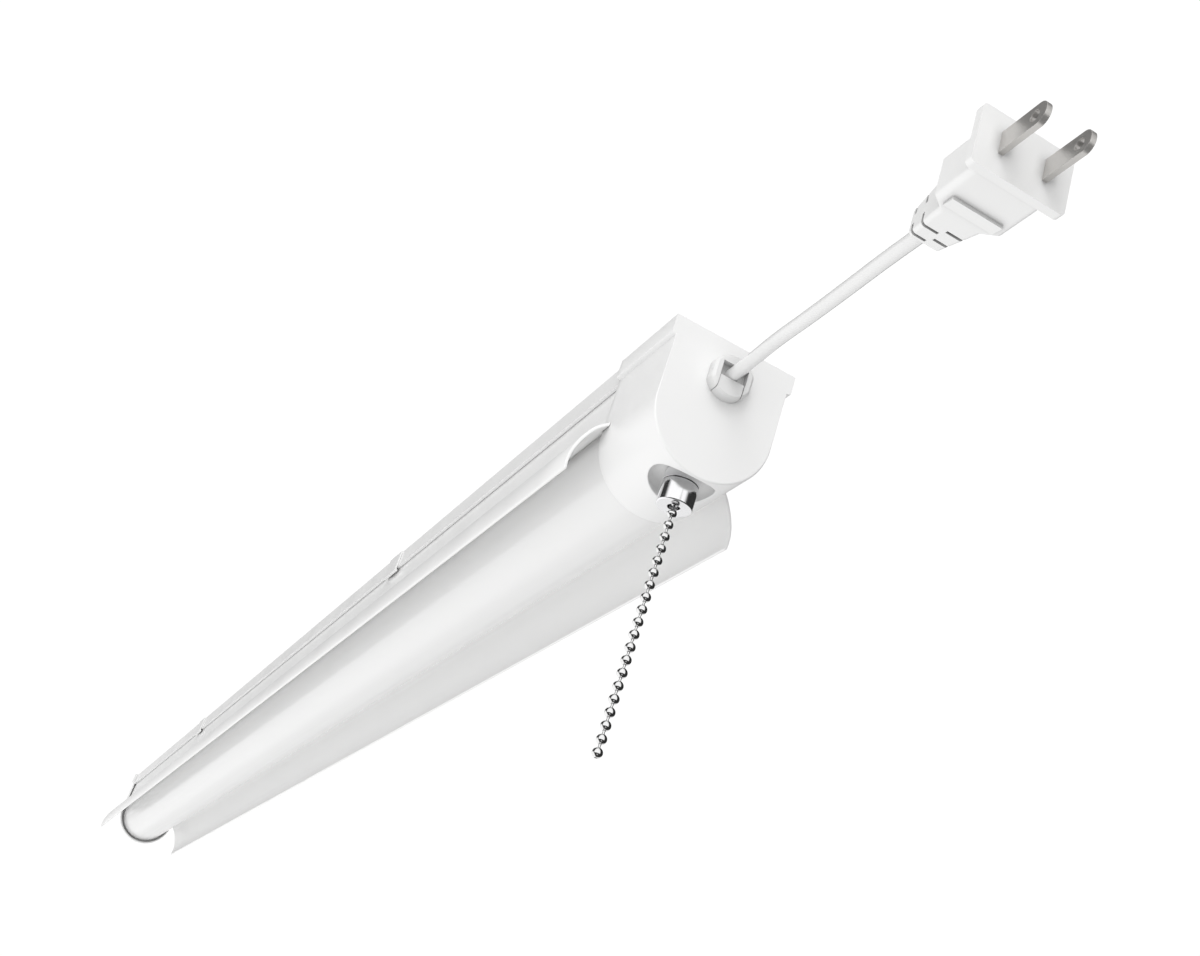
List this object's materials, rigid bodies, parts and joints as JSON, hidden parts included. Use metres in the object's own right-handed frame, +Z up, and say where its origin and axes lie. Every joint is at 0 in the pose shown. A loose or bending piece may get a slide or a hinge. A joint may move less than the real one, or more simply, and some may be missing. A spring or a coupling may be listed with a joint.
{
  "type": "hanging shop light",
  "caption": "Long white shop light with a U-shaped diffuser, two curved reflector wings, clips on top, a bead pull chain and a short plug lead.",
  "frame": {"origin": "middle of the flat top face, halfway along the light, where it meets the ceiling", "axes": "+Z up out of the flat top towards the ceiling, +X along the light towards the cord end, Y across it"},
  "size_m": [1.0663, 0.0598, 0.1341],
  "materials": {
    "housing_white": "white powder coat",
    "cap_white": "satin moulded white",
    "diffuser_white": "translucent opal, satin gloss",
    "wing_white": "white gloss coat",
    "clip_white": "white coat",
    "bushing_white": "moulded white",
    "cord_white": "white flexible jacket",
    "plug_white": "moulded white, satin",
    "blade_metal": "nickel plated",
    "chrome": "polished",
    "chain_metal": "polished",
    "steel": "zinc plated",
    "circuit_white": "white solder mask",
    "circuit_green": "green solder mask",
    "led_yellow": "phosphor",
    "insulator": "sheet",
    "dark_plastic": "moulded black",
    "ferrite": "sintered",
    "copper": "enamelled wire",
    "wire_jacket": "jacket",
    "brass": "stamped",
    "connector": "moulded"
  },
  "bodies": {
    "housing": {"housing_channel": "housing_white", "top_cover": "housing_white", "near_end_cap": "cap_white", "far_end_cap": "cap_white", "cap_screws": "steel", "diffuser": "diffuser_white", "reflector_wing_right": "wing_white", "reflector_wing_left": "wing_white", "reflector_rivets": "steel", "mounting_clip_near": "clip_white", "mounting_clip_far": "clip_white", "led_board": "circuit_white", "led_chips": "led_yellow", "led_board_screws": "steel", "driver_insulator": "insulator", "driver_standoffs": "insulator", "driver_board": "circuit_green", "driver_transformer": "ferrite", "driver_winding": "copper", "driver_capacitors": "dark_plastic", "driver_parts": "dark_plastic", "bushing_body": "bushing_white", "bushing_key": "bushing_white", "power_cord": "cord_white", "power_cord_inner": "cord_white", "cord_crimp": "steel", "wire_connectors": "connector", "supply_wires": "wire_jacket", "board_wires": "wire_jacket", "plug_body": "plug_white", "plug_blades": "blade_metal", "switch_body": "dark_plastic", "switch_cover": "dark_plastic", "switch_contacts": "brass", "switch_lock_washer": "steel", "switch_nozzle": "chrome", "return_spring": "steel"},
    "switch_pull": {"switch_plunger": "steel", "bead_chain_inner": "chain_metal"},
    "switch_rotor": {"switch_cam": "insulator"},
    "chain_swivel_top": {"chain_top_bead": "chain_metal"},
    "chain_upper": {"bead_chain_upper": "chain_metal"},
    "chain_swivel_middle": {"chain_middle_bead": "chain_metal"},
    "chain_lower": {"bead_chain_lower": "chain_metal"}
  },
  "joints": [
    {"name": "pull_switch", "type": "slide", "parent": "housing", "child": "switch_pull", "axis": [0, 0, -1], "range_m": [0, 0.006], "stiffness_N_per_m": 400, "springref_m": -0.004, "deforming": ["return_spring"]},
    {"name": "switch_ratchet", "type": "hinge", "parent": "housing", "child": "switch_rotor", "pos_m": [0.446, 0, -0.0235], "axis": [0, 0, 1], "range_deg": [0, 45]},
    {"name": "chain_swing_side", "type": "hinge", "parent": "switch_pull", "child": "chain_swivel_top", "pos_m": [0.446, 0, -0.056], "axis": [1, 0, 0], "range_deg": [-35, 35]},
    {"name": "chain_swing_along", "type": "hinge", "parent": "chain_swivel_top", "child": "chain_upper", "pos_m": [0.446, 0, -0.056], "axis": [0, 1, 0], "range_deg": [-35, 35]},
    {"name": "chain_bend_side", "type": "hinge", "parent": "chain_upper", "child": "chain_swivel_middle", "pos_m": [0.446, 0, -0.09626], "axis": [1, 0, 0], "range_deg": [-40, 40]},
    {"name": "chain_bend_along", "type": "hinge", "parent": "chain_swivel_middle", "child": "chain_lower", "pos_m": [0.446, 0, -0.09626], "axis": [0, 1, 0], "range_deg": [-40, 40]}
  ],
  "couplings": [
    {"joint": "switch_ratchet", "follows": "pull_switch", "rad_per_m": 130}
  ]
}
